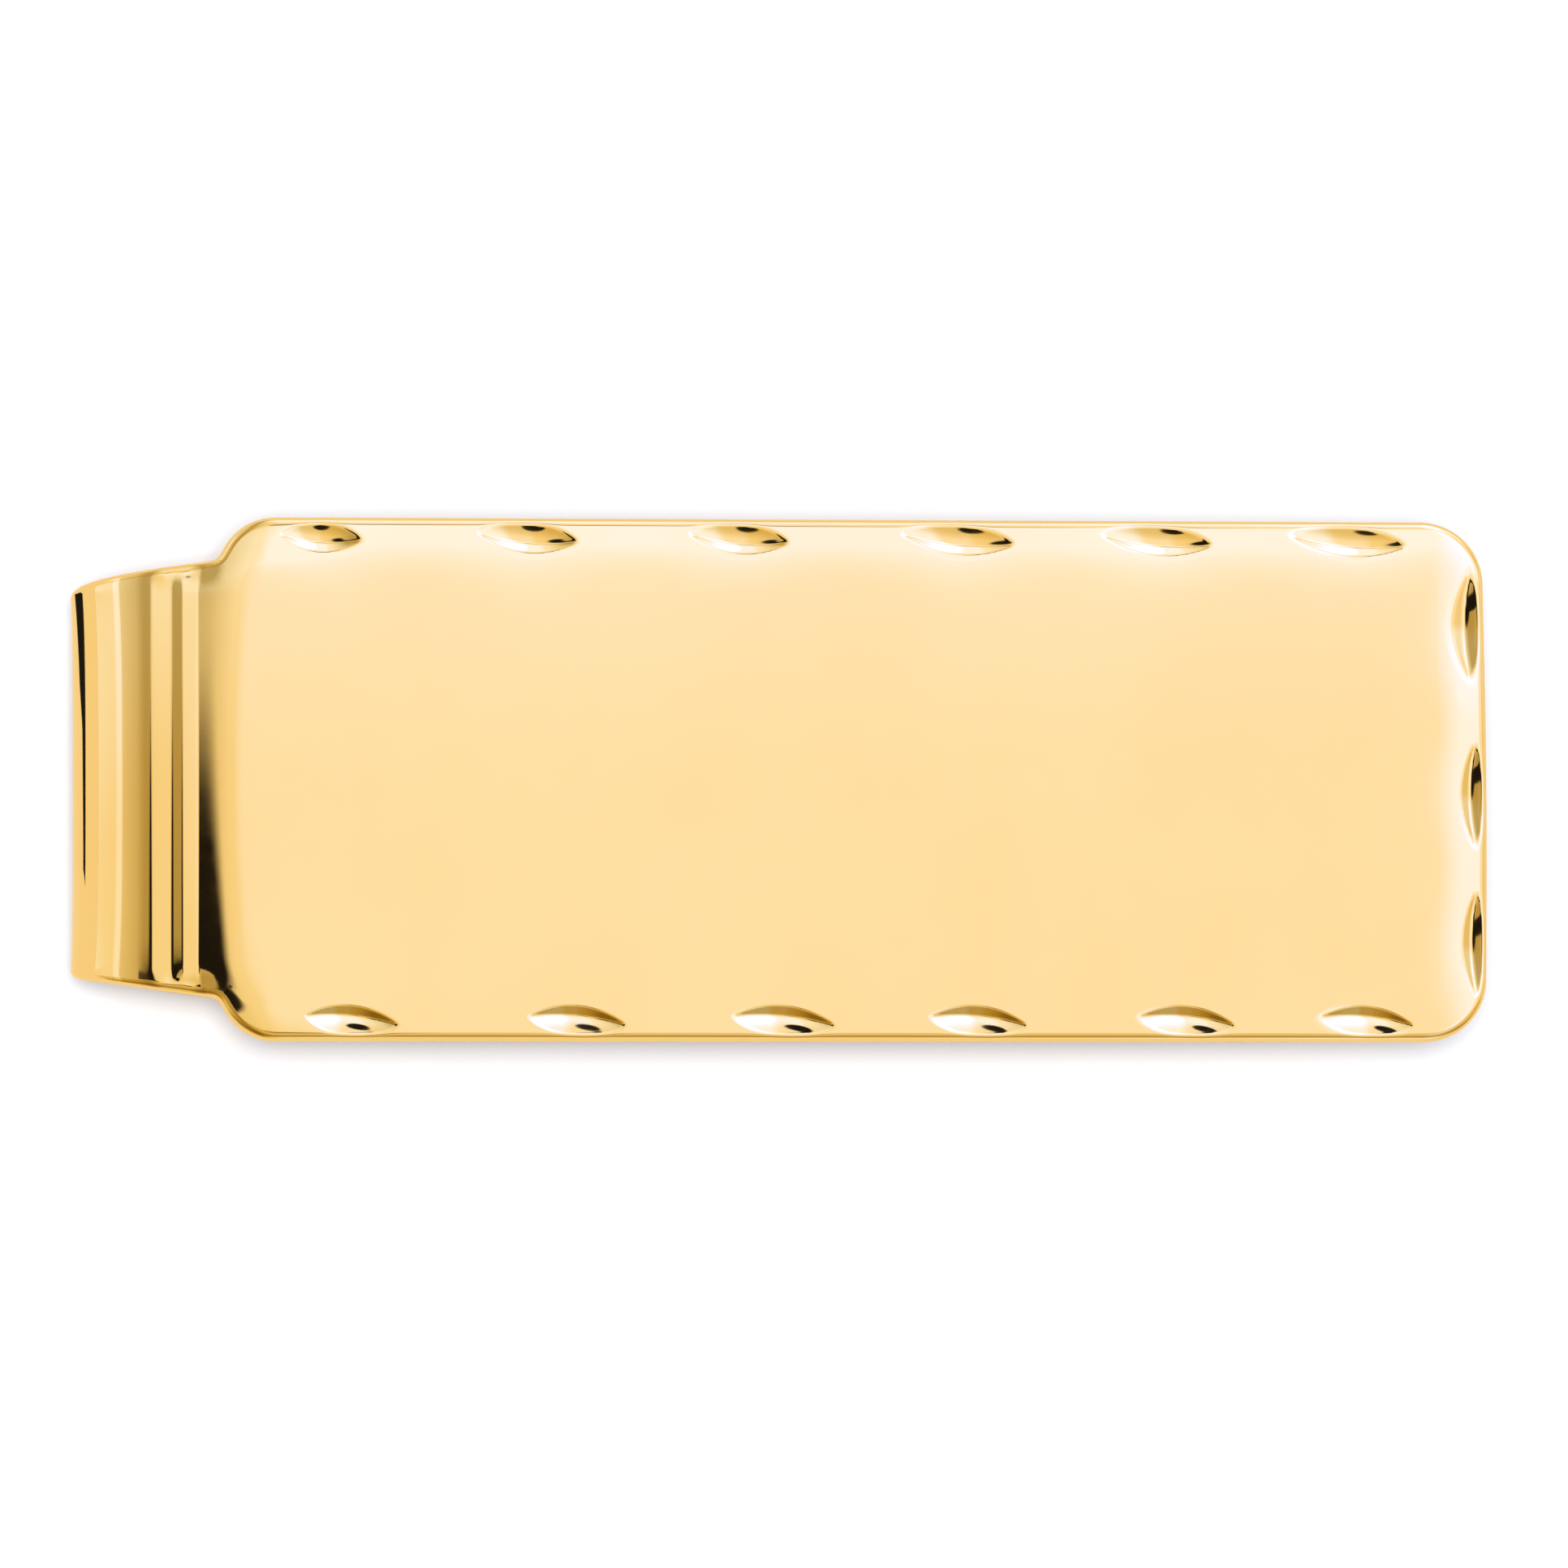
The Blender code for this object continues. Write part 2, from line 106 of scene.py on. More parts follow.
# Spans, in distance from the hinge end, over which each part of the relief fades in or out
ROLL_FADE = (-1.2, 2.8)
NECK_CROWN_FADE = (3.5, 7.5)
PILLOW_FADE = (4.0, 9.0)
WAVES_FADE = (4.2, 5.4)
FACE_END_FADE = (6.0, 9.5)

# Scallops: places along the edges and lengths; insets of outer side, deepest line and inner side
SCALLOP_DEPTH = 0.2
SCALLOP_SIDE_INSETS = (0.12, 0.94, 1.3)
SCALLOP_END_INSETS = (0.08, 0.7, 1.02)
SCALLOP_CORNER_INSETS = (0.2, 0.86, 1.33)
SCALLOP_SIDE_TURN = math.radians(-5)
SCALLOPS_LEFT_EDGE = ((8.9, 3.2), (16.5, 3.7), (24.2, 3.7), (32.2, 4.2), (39.5, 4.1), (46.5, 4.3))
SCALLOPS_RIGHT_EDGE = ((9.9, 3.5), (18.1, 3.6), (25.6, 3.8), (32.7, 3.6), (40.3, 3.6), (46.9, 3.5))
SCALLOPS_FREE_END = (
    (5.65, 4.0, SCALLOP_CORNER_INSETS), (-0.5, 3.9, SCALLOP_END_INSETS), (-5.95, 4.0, SCALLOP_END_INSETS),
)
SCALLOP_BOW = 0.2
SCALLOP_HOLLOW = 1.4
CUT_BLEND = 0.02

# Each scallop's soft lip, which is longer and wider than the cut, and the shallow dish pressed in round it
LIP_WIDTH = 0.24
LIP_DEPTH = 0.035
LIP_OUTER_WIDTH = 0.3
LIP_EXTRA_LENGTH = 0.5
LIP_BLEND = 0.012
DISH_DEPTH = 0.02
DISH_INSET = 0.7
DISH_HALF_WIDTH = 1.2
DISH_LENGTH_SHARE = 0.55

# The neck's waves: slope in degrees at distances from the hinge end, facing it where positive
NECK_SLOPES = (
    (2.80, 0.0), (2.86, -6.3), (3.30, 2.5), (3.50, 2.5), (3.53, 6.5), (3.57, 6.5), (3.61, 13.2), (3.75, 12.8),
    (3.90, 12.2), (3.95, 1.8), (4.40, 1.6), (4.48, 0.0),
)
NECK_END_START = 0.3
NECK_END_FADE = 0.8

# The rear arm, the hinge and the spring: main sizes as in the CAD, with the small bevels and curves added
ARM_SHEET = 0.8
ARM_EDGE_RADIUS = 0.18
ARM_HALF_WIDTH = 5.5
ARM_TIP_HALF_WIDTH = 4.6
ARM_TIP_CORNER_RADIUS = 4.0
ARM_TAPER_RADIUS = 20.0
ARM_RISE_START_X = 4.0
ARM_TOUCH_X = 17.0
ARM_FLARE_RADIUS = 5.0
ARM_FLARE_ANGLE = math.radians(50)
EAR_RADIUS = 2.2
EAR_FOOT_X = AXIS_X + 1.2
EAR_RELIEF = 0.2
EAR_RELIEF_RADIUS = 0.3
EAR_RELIEF_WIDTH = 0.4
FLANGE_KNEE_X = AXIS_X + 9.0
FLANGE_KNEE_Z = 1.7
FLANGE_KNEE_RADIUS = 2.0
FLANGE_END_X = AXIS_X + 11.5
FLANGE_END_RADIUS = 3.0
FLANGE_RUN_OUT = 1.0
FOLD_FADE = (FLANGE_KNEE_X + 0.5, FLANGE_END_X + 2.0)
FOLD_INNER_RADIUS = 0.15
PIN_RADIUS = 0.6
PIN_DOME_HEIGHT = 0.12
PIN_DOME_END = 1.35
PIN_RIM_HEIGHT = 0.1
PIN_BEVEL = 0.04
RIVET_RADIUS = 0.6
RIVET_FOOT_BEVEL = 0.05
RIVET_PLACES = (AXIS_X + 9.0, AXIS_X + 12.0)
RIVET_HEAD_RADIUS = 1.1
RIVET_HEAD_HEIGHT = 0.4
SMALL_EDGE_RADIUS = 0.08
SPRING_SHEET = 0.35
SPRING_CORNER_RADIUS = 0.8
CAM_RADIUS = 1.5
CAM_LIFT = 0.25
BLOCK_BACK_ANGLE = math.radians(170)
BLOCK_FOOT_Z = AXIS_Z + 0.9
BLOCK_CORNER_SOFTENING = 0.4

# The front plate's mesh: distances between columns along the rim, how far in the rim's rows reach, and
# distances between points over the face
RIM_SPACING = 0.22
RIM_NECK_SPACING = 0.09
RIM_CORNER_SPACING = 0.12
RIM_CORNER_REACH = 3.5
RIM_TAB_END_SPACING = 0.25
RIM_SCALLOP_SPACING = 0.055
RIM_NECK_DEPTH = 0.5
RIM_PLATE_DEPTH = 1.77
ROLL_GRID = 0.13
NECK_GRID = 0.04
FACE_END_GRID = 0.12
FACE_GRID = 0.7
FACE_SIDE_GRID = 0.22

# The other pieces' meshes, in the same terms
ARM_SPACING = 0.16
ARM_BORE_SPACING = 0.08
ARM_RIM_DEPTH = 0.3
ARM_GRID = 0.3
ARM_WALL_GRID = 0.4
SPRING_SPACING = 0.12
SPRING_RIM_DEPTH = 0.2
SPRING_GRID = 0.8
BLOCK_SPACING = 0.08
BLOCK_RIM_DEPTH = 0.1

# How outlines are stepped through, how many rows round an edge, and how close points are the same point
OUTLINE_STEP = 0.01
HEADING_STEP = 0.03
EDGE_ROWS = 7
SOFTENING_COUNT = 6
MERGE_DISTANCE = 1e-7

# The camera: tilted from the plate's normal towards the hinge end and towards -Y, with millimetres for its
# distance and for the width and the middle of what it sees
CAMERA_DISTANCE = 450.0
CAMERA_TILT_X = math.radians(5.25)
CAMERA_TILT_Y = math.radians(4.75)
CAMERA_ROLL = math.radians(0.15)
VIEW_WIDTH = 56.84
VIEW_MIDDLE = (-0.03, -0.177)
SENSOR_WIDTH = 36.0

TURN = 2 * math.pi
QUARTER = math.pi / 2


# ---------------------------------------------------------------- outlines

def arc(centre, radius, start, end, step=math.radians(0.5)):
    """Points along an arc, both ends included."""
    count = max(2, math.ceil(abs(end - start) / step))
    angles = [start + (end - start) * i / count for i in range(count + 1)]
    return [(centre[0] + radius * math.cos(a), centre[1] + radius * math.sin(a)) for a in angles]


def hole(centre, radius):
    """A round hole's loop; it runs clockwise, so that the metal lies on its left."""
    return arc(centre, radius, TURN, 0)[:-1]


def rounded_outline(corners):
    """A closed outline through corners (x, y, radius), each rounded by its own radius."""
    outline = []
    for i, (x, y, radius) in enumerate(corners):
        corner = Vector((x, y))
        if not radius:
            outline.append((x, y))
            continue
        back = (Vector(corners[i - 1][:2]) - corner).normalized()
        onward = (Vector(corners[(i + 1) % len(corners)][:2]) - corner).normalized()
        half_angle = back.angle(onward) / 2
        centre = corner + (back + onward).normalized() * radius / math.sin(half_angle)
        first = corner + back * radius / math.tan(half_angle) - centre
        last = corner + onward * radius / math.tan(half_angle) - centre
        start = math.atan2(first.y, first.x)
        sweep = math.remainder(math.atan2(last.y, last.x) - start, TURN)
        outline += arc(centre, radius, start, start + sweep, min(math.radians(0.5), 0.1 / radius))
    return outline


def mirrored_corners(upper_corners):
    """The upper half's corners, then the same corners below the middle line, in one round."""
    return upper_corners + [(x, -y, radius) for x, y, radius in reversed(upper_corners) if y]


def resampled(outline, spacing):
    """Points along a closed outline at the spacing asked for, and the directions into the metal there."""
    corners = np.array(list(outline) + [outline[0]], float)
    travel = np.concatenate([[0], np.cumsum(np.linalg.norm(np.diff(corners, axis=0), axis=1))])
    total = travel[-1]

    def at(distance):
        wrapped = np.mod(distance, total)
        return np.stack([np.interp(wrapped, travel, corners[:, k]) for k in (0, 1)], axis=1)

    fine = np.linspace(0, total, int(total / OUTLINE_STEP))
    density = 1 / spacing(*at(fine).T)
    count = np.concatenate([[0], np.cumsum((density[1:] + density[:-1]) / 2 * np.diff(fine))])
    even = np.linspace(0, count[-1], math.ceil(count[-1]), endpoint=False)
    places = np.interp(even, count, fine)
    ahead = at(places + HEADING_STEP) - at(places - HEADING_STEP)
    ahead /= np.linalg.norm(ahead, axis=1)[:, None]
    inward = np.stack([-ahead[:, 1], ahead[:, 0]], axis=1)
    return at(places), inward


def everywhere(amount):
    """A spacing or a depth that is the same all over."""
    return lambda x, y: amount + 0 * x


def softened(outline, width):
    """The outline with every corner rounded, by averaging it over a sliding stretch of that width."""
    spacing = width / (2 * SOFTENING_COUNT)
    points, _ = resampled(outline, everywhere(spacing))
    shifts = range(-SOFTENING_COUNT, SOFTENING_COUNT + 1)
    shifted = [np.roll(points, shift, axis=0) for shift in shifts]
    return np.mean(shifted, axis=0).tolist()


# ---------------------------------------------------------------- meshes from flat loops

def smooth_min(a, b, width):
    blend = np.maximum(width - np.abs(a - b), 0)
    return np.minimum(a, b) - blend * blend / (4 * width)


def smooth_max(a, b, width):
    return -smooth_min(-a, -b, width)


def smooth_step(value, low, high):
    t = np.clip((value - low) / (high - low), 0, 1)
    return t * t * (3 - 2 * t)


def inside(points, rings, margin):
    """Which points lie within the first ring and outside the others, clear of all by the margin."""
    keep = np.ones(len(points), bool)
    for number, ring in enumerate(rings):
        after = np.roll(ring, -1, axis=0)
        x, y = points[:, :1], points[:, 1:]
        crosses = (ring[:, 1] > y) != (after[:, 1] > y)
        not_zero = 1e-12
        rise = np.where(after[:, 1] == ring[:, 1], not_zero, after[:, 1] - ring[:, 1])
        crossing_x = ring[:, 0] + (y - ring[:, 1]) / rise * (after[:, 0] - ring[:, 0])
        enclosed = (np.sum(crosses & (x < crossing_x), axis=1) % 2).astype(bool)
        nearest = np.min((x - ring[:, 0]) ** 2 + (y - ring[:, 1]) ** 2, axis=1)
        keep &= (enclosed if number == 0 else ~enclosed) & (nearest > margin * margin)
    return points[keep]


def filled(rings, ring_starts, grid, first_new, margin):
    """Triangles over the area between the rings, through the grid points that lie in it."""
    added = inside(grid, rings, margin)
    points = np.concatenate(rings + [added])
    loops = []
    place = 0
    for ring in rings:
        loops.append(list(range(place, place + len(ring))))
        place += len(ring)
    indices = np.concatenate(
        [np.arange(start, start + len(ring)) for start, ring in zip(ring_starts, rings)]
        + [np.arange(first_new, first_new + len(added))]
    )
    inside_outlines = 2
    result = delaunay_2d_cdt([Vector(p) for p in points.tolist()], [], loops, inside_outlines, MERGE_DISTANCE)
    origins = [owners[0] for owners in result[3]]
    triangles = [tuple(int(indices[origins[v]]) for v in face) for face in result[2]]
    return added, triangles


def sheet_piece(name, loops, half_thickness, edge_radii, spacing, depth, grid, bend, relief=None, rows=3,
                wall_rows=2, margin=0.08):
    """A closed piece from flat loops: rounded rims with their rows of faces, and filled front and back.

    edge_radii are the front and back edges' radii, depth(x, y) is how far in from the edge the front's
    rows reach, grid the points that fill the middle, relief(x, y, height) the front's shaped height, and
    bend(x, y, height) the final place in millimetres.
    """
    front_radius, back_radius = edge_radii
    angles = np.linspace(0, QUARTER, EDGE_ROWS)
    flat, faces, edge_faces = [], [], []
    fronts, backs, front_starts, back_starts = [], [], [], []
    start = 0
    for outline in loops:
        points, inward = resampled(outline, spacing)
        reach = depth(*points.T)
        profile = []
        for share in np.linspace(1, 0, rows + 1)[:-1]:
            profile.append((front_radius + (reach - front_radius) * share, half_thickness))
        for angle in angles[::-1]:
            inset = front_radius * (1 - math.cos(angle))
            profile.append((inset + 0 * reach, half_thickness - front_radius * (1 - math.sin(angle))))
        low, high = -half_thickness + back_radius, half_thickness - front_radius
        for share in np.linspace(1, 0, wall_rows + 1)[1:-1]:
            profile.append((0 * reach, low + (high - low) * share))
        for angle in angles:
            inset = back_radius * (1 - math.cos(angle))
            profile.append((inset + 0 * reach, -half_thickness + back_radius * (1 - math.sin(angle))))
        profile.append((np.minimum(reach, back_radius * 2.5), -half_thickness))
        count = len(points)
        for row, (inset, height) in enumerate(profile):
            place = points + inward * inset[:, None]
            column = np.full((count, 1), float(height))
            if relief and row <= rows + len(angles):
                column[:, 0] = relief(place[:, 0], place[:, 1], column[:, 0])
            flat.append(np.hstack([place, column]))
            if row == 0:
                fronts.append(place)
                front_starts.append(start)
            if row == len(profile) - 1:
                backs.append(place)
                back_starts.append(start + row * count)
            if row:
                above = start + (row - 1) * count
                below = above + count
                ring = np.arange(count)
                after = np.roll(ring, -1)
                quads = np.stack([above + ring, below + ring, below + after, above + after], axis=1)
                is_wall = rows + len(angles) <= row < len(profile) - len(angles)
                (edge_faces if is_wall else faces).extend(map(tuple, quads.tolist()))
        start += count * len(profile)
    added, triangles = filled(fronts, front_starts, grid, start, margin)
    height = np.full((len(added), 1), half_thickness)
    if relief:
        height[:, 0] = relief(added[:, 0], added[:, 1], height[:, 0])
    flat.append(np.hstack([added, height]))
    faces += triangles
    start += len(added)
    added, triangles = filled(backs, back_starts, grid, start, margin)
    flat.append(np.hstack([added, np.full((len(added), 1), -half_thickness)]))
    faces += [face[::-1] for face in triangles]
    bent = np.stack(bend(*np.concatenate(flat).T), axis=1)
    mesh = bpy.data.meshes.new(name)
    mesh.from_pydata((bent * MM).tolist(), [], faces + edge_faces)
    mesh.shade_smooth()
    mesh.polygons.foreach_set("material_index", [0] * len(faces) + [1] * len(edge_faces))
    mesh.validate()
    piece = bpy.data.objects.new(name, mesh)
    bpy.context.scene.collection.objects.link(piece)
    return piece


def turned_piece(name, profile, steps=64):
    """A solid of revolution about its own Z; the profile (radius, height) in millimetres runs top down."""
    mesh = bpy.data.meshes.new(name)
    edges = [(i, i + 1) for i in range(len(profile) - 1)]
    mesh.from_pydata([(radius * MM, 0, height * MM) for radius, height in profile], edges, [])
    piece = bpy.data.objects.new(name, mesh)
    bpy.context.scene.collection.objects.link(piece)
    screw = piece.modifiers.new("turn", "SCREW")
    screw.steps = steps
    screw.render_steps = steps
    screw.use_merge_vertices = True
    screw.merge_threshold = MERGE_DISTANCE
    screw.use_smooth_shade = True
    return piece


def finished(piece, body, node, materials):
    for material in materials:
        piece.data.materials.append(material)
    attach(piece, body)
    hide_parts(node)
    return piece


# ---------------------------------------------------------------- the front plate

def scallops():
    """Each scallop's point on the outline, the way its edge faces, its length and its insets."""
    places = []
    for across, row in ((HALF_WIDTH, SCALLOPS_LEFT_EDGE), (-HALF_WIDTH, SCALLOPS_RIGHT_EDGE)):
        heading = math.copysign(QUARTER, across) + SCALLOP_SIDE_TURN
        places += [((LEFT_END + far, across), heading, length, SCALLOP_SIDE_INSETS) for far, length in row]
    places += [((RIGHT_END, across), 0.0, length, insets) for across, length, insets in SCALLOPS_FREE_END]
    return places


def along_and_inset(x, y, edge_point, heading):
    """Distances along the edge from a scallop's middle, and in from the edge."""
    dx = x - edge_point[0]
    dy = y - edge_point[1]
    along = dy * math.cos(heading) - dx * math.sin(heading)
    inset = -dx * math.cos(heading) - dy * math.sin(heading)
    return along, inset


def wheel_cut(along, inset, length, insets, depth):
    """Height of the V-edged wheel's cut over the face; it is above the face outside the cut."""
    outer, deepest, inner = insets
    radius = ((length / 2) ** 2 / depth + depth) / 2
    bowed = inset + SCALLOP_BOW * (2 * along / length) ** 2
    inner_side = (bowed - deepest) * depth / (inner - deepest)
    outer_side = depth * ((deepest - bowed) / (deepest - outer)).clip(0) ** SCALLOP_HOLLOW
    return smooth_max(inner_side, outer_side, CUT_BLEND) - depth + along ** 2 / (2 * radius)


def neck_waves(from_end):
    """Height of the neck's waves, by adding up their slopes towards the hinge end."""
    places, slopes = np.array(NECK_SLOPES).T
    fine = np.linspace(places[0], places[-1], 800)
    rise = np.tan(np.radians(np.interp(fine, places, slopes)))
    total = np.concatenate([[0], np.cumsum((rise[1:] + rise[:-1]) / 2 * np.diff(fine))])
    return np.interp(from_end, fine, total - total[-1])


def face_end_drop(from_end, from_side):
    """How far the surface lies below the raised face, down its rounded end and over the neck."""
    beside_x = np.maximum(FACE_END_CORNER - (from_end - FACE_START), 0)
    beside_y = np.maximum(FACE_END_CORNER - (from_side - FACE_END_SIDE_INSET), 0)
    share = np.clip((FACE_END_CORNER - np.hypot(beside_x, beside_y)) / FACE_END_WIDTH, 0, 1)
    drop = FACE_END_SLOPE * FACE_END_WIDTH * (0.5 - share + share ** 3 - share ** 4 / 2)
    return drop * (1 - smooth_step(from_end, *FACE_END_FADE))


def face_relief(x, y, height):
    """The front face's height at a point of the blank: crown, pillow, neck, scallops and their lips."""
    from_end = x - LEFT_END
    from_side = HALF_WIDTH - np.abs(y)
    edge = smooth_min(from_side, RIGHT_END - x, PILLOW_CORNER_BLEND)
    pillow = PILLOW_DROP * np.clip(1 - edge / PILLOW_WIDTH, 0, 1) ** 3 * smooth_step(from_end, *PILLOW_FADE)
    back_up = smooth_step(from_end, *ROLL_FADE)
    neck_share = 1 - smooth_step(from_end, *NECK_CROWN_FADE)
    crown = (CROWN_PER_MM2 + NECK_CROWN_PER_MM2 * neck_share) * y * y * back_up
    neck_end = smooth_step(NOTCH_HALF_WIDTH - np.abs(y), NECK_END_START, NECK_END_START + NECK_END_FADE)
    waves = neck_waves(from_end)
    below_waves = (neck_waves(0) - waves) * (1 - smooth_step(from_end, *WAVES_FADE))
    neck = (waves + below_waves * (1 - neck_end)) * back_up
    face = PLATE_SHEET / 2 - pillow - crown
    surface = height - pillow - crown + neck - face_end_drop(from_end, from_side) * back_up
    for edge_point, heading, length, insets in scallops():
        along, inset = along_and_inset(x, y, edge_point, heading)
        along_share = along / (DISH_LENGTH_SHARE * length)
        across_share = (inset - DISH_INSET) / DISH_HALF_WIDTH
        surface = surface - DISH_DEPTH * np.exp(-along_share ** 2 - across_share ** 2)
    for edge_point, heading, length, insets in scallops():
        along, inset = along_and_inset(x, y, edge_point, heading)
        lip_insets = (insets[0] - LIP_OUTER_WIDTH, insets[1], insets[2] + LIP_WIDTH)
        lip = wheel_cut(along, inset, length + LIP_EXTRA_LENGTH, lip_insets, LIP_DEPTH + CUT_BLEND)
        cut = wheel_cut(along, inset, length, insets, SCALLOP_DEPTH + CUT_BLEND)
        surface = smooth_min(surface, face + lip, LIP_BLEND)
        surface = smooth_min(surface, face + cut, CUT_BLEND)
    return surface


def roll_tab(x, y, height):
    """Bends the blank's tab round the hinge axis; the roll is slightly waisted between its ends."""
    past_crest = np.maximum(0, AXIS_X - x)
    angle = past_crest / ROLL_MIDDLE_RADIUS
    waist = ROLL_WAIST * (1 - (np.abs(y) / TAB_END_HALF_WIDTH).clip(0, 1) ** 4)
    radius = ROLL_MIDDLE_RADIUS + height - waist * np.sin(np.minimum(angle, QUARTER)) ** 2
    return np.maximum(x, AXIS_X) - radius * np.sin(angle), y, AXIS_Z + radius * np.cos(angle)


def plate_spacing(x, y):
    """How far apart the rim's columns stand: close in the scallops, wide between them."""
    spacing = np.where(x < NOTCH_X + 1.5, RIM_NECK_SPACING, RIM_SPACING)
    from_corner = np.hypot(x - RIGHT_END, np.abs(y) - HALF_WIDTH)
    spacing = np.where(from_corner < RIM_CORNER_REACH, RIM_CORNER_SPACING, spacing)
    on_tab_end = (x < TAB_END_X + 0.3) & (np.abs(y) < TAB_END_HALF_WIDTH - 1.0)
    spacing = np.where(on_tab_end, RIM_TAB_END_SPACING, spacing)
    for edge_point, heading, length, insets in scallops():
        along, inset = along_and_inset(x, y, edge_point, heading)
        near = (np.abs(along) < length / 2 + 0.35) & (np.abs(inset) < 1.0)
        spacing = np.where(near, RIM_SCALLOP_SPACING, spacing)
    return spacing


def plate_depth(x, y):
    """The rim's rows reach past the scallops, and only a little way in on the narrow tab."""
    plate_share = smooth_step(x, NOTCH_X - 0.5, NOTCH_X + 2.5)
    return RIM_NECK_DEPTH + (RIM_PLATE_DEPTH - RIM_NECK_DEPTH) * plate_share


def plate_grid():
    """Points over the face: finest over the neck's waves, close down the face's end, wide in the middle."""
    neck = np.arange(LEFT_END + NECK_SLOPES[0][0] - 0.1, LEFT_END + NECK_SLOPES[-1][0] + 0.12, NECK_GRID)
    roll = np.arange(TAB_END_X + RIM_NECK_DEPTH, neck[0] - 0.1, ROLL_GRID)
    face_end = np.arange(neck[-1] + 0.08, LEFT_END + FACE_END_FADE[1], FACE_END_GRID)
    plate = np.arange(face_end[-1] + 0.4, RIGHT_END - RIM_PLATE_DEPTH - 0.03, FACE_GRID)
    columns = np.concatenate([roll, neck, face_end, plate])
    side_start = 5.6
    middle_rows = np.arange(0, side_start - 0.4, FACE_GRID)
    side_rows = np.arange(side_start, HALF_WIDTH - 1.6, FACE_SIDE_GRID)
    rows = np.concatenate([middle_rows, side_rows])
    rows = np.concatenate([-rows[:0:-1], rows])
    return np.stack(np.meshgrid(columns, rows), axis=-1).reshape(-1, 2)


def make_front_plate(gold, edge_gold):
    slant_run = (HALF_WIDTH - NOTCH_HALF_WIDTH) / math.tan(NOTCH_SLANT)
    blank = rounded_outline(mirrored_corners([
        (RIGHT_END, 0, FREE_END_RADIUS),
        (RIGHT_END - FREE_END_BOW, HALF_WIDTH, FREE_CORNER_RADIUS),
        (NOTCH_X + slant_run, HALF_WIDTH, HINGE_CORNER_RADIUS),
        (NOTCH_X, NOTCH_HALF_WIDTH, NOTCH_FILLET),
        (TAB_END_X, TAB_END_HALF_WIDTH, TAB_CORNER_RADIUS),
    ]))
    piece = sheet_piece("front_plate_sheet", [blank], PLATE_SHEET / 2, (SHOULDER_RADIUS, BACK_EDGE_RADIUS),
                        plate_spacing, plate_depth, plate_grid(), roll_tab, face_relief, rows=27)
    return finished(piece, "front", "front_plate", [gold, edge_gold])


# ---------------------------------------------------------------- the rear arm

def arm_line():
    """The middle of the arm's thickness: travel, x, z and heading, from the hinge end to the tip."""
    start_z = ARM_SHEET / 2
    touch_z = PLATE_TOP - PLATE_SHEET - GAP - ARM_SHEET / 2
    run = ARM_TOUCH_X - ARM_RISE_START_X
    slope = 2 * math.atan((touch_z - start_z) / run)
    bend_radius = run / (2 * math.sin(slope))
    points = 60
    headings = np.concatenate([
        np.linspace(0, slope, points),
        np.linspace(slope, 0, points),
        np.linspace(0, -ARM_FLARE_ANGLE, points),
    ])
    radii = np.repeat([bend_radius, bend_radius, ARM_FLARE_RADIUS], points)
    steps = np.concatenate([[0], np.abs(np.diff(headings)) * radii[1:]])
    travel = ARM_RISE_START_X + np.cumsum(steps)
    middle = np.concatenate([[0], (headings[1:] + headings[:-1]) / 2])
    x = ARM_RISE_START_X + np.cumsum(steps * np.cos(middle))
    z = start_z + np.cumsum(steps * np.sin(middle))
    return travel, x, z, headings


FOLD_MIDDLE_RADIUS = FOLD_INNER_RADIUS + ARM_SHEET / 2
FOLD_START = ARM_HALF_WIDTH - FOLD_INNER_RADIUS - ARM_SHEET
FOLD_LENGTH = FOLD_MIDDLE_RADIUS * QUARTER
WALL_START = FOLD_START + FOLD_LENGTH


def across_at_height(z):
    """How far out on the arm's blank a point lies that the fold brings to height z on the ear."""
    return WALL_START + z - ARM_SHEET / 2 - FOLD_MIDDLE_RADIUS


def bend_arm(u, v, height):
    """Folds the flanges and ears up, which run out along the strip, and bends the strip to its line."""
    least_fold = 1e-4
    fold = np.maximum((1 - smooth_step(u, *FOLD_FADE)) * QUARTER, least_fold)
    radius = FOLD_LENGTH / fold
    side = np.abs(v)
    is_flat = side < FOLD_START
    turned = fold * np.clip((side - FOLD_START) / FOLD_LENGTH, 0, 1)
    past = np.maximum(side - WALL_START, 0)
    y = np.where(is_flat, side, FOLD_START + (radius - height) * np.sin(turned)) + past * np.cos(fold)
    lift = np.where(is_flat, height, radius - (radius - height) * np.cos(turned)) + past * np.sin(fold)
    travel, line_x, line_z, headings = arm_line()
    before_rise = u < ARM_RISE_START_X
    x = np.where(before_rise, u, np.interp(u, travel, line_x))
    z = np.where(before_rise, ARM_SHEET / 2, np.interp(u, travel, line_z))
    heading = np.where(before_rise, 0, np.interp(u, travel, headings))
    return x - lift * np.sin(heading), np.copysign(y, v), z + lift * np.cos(heading)


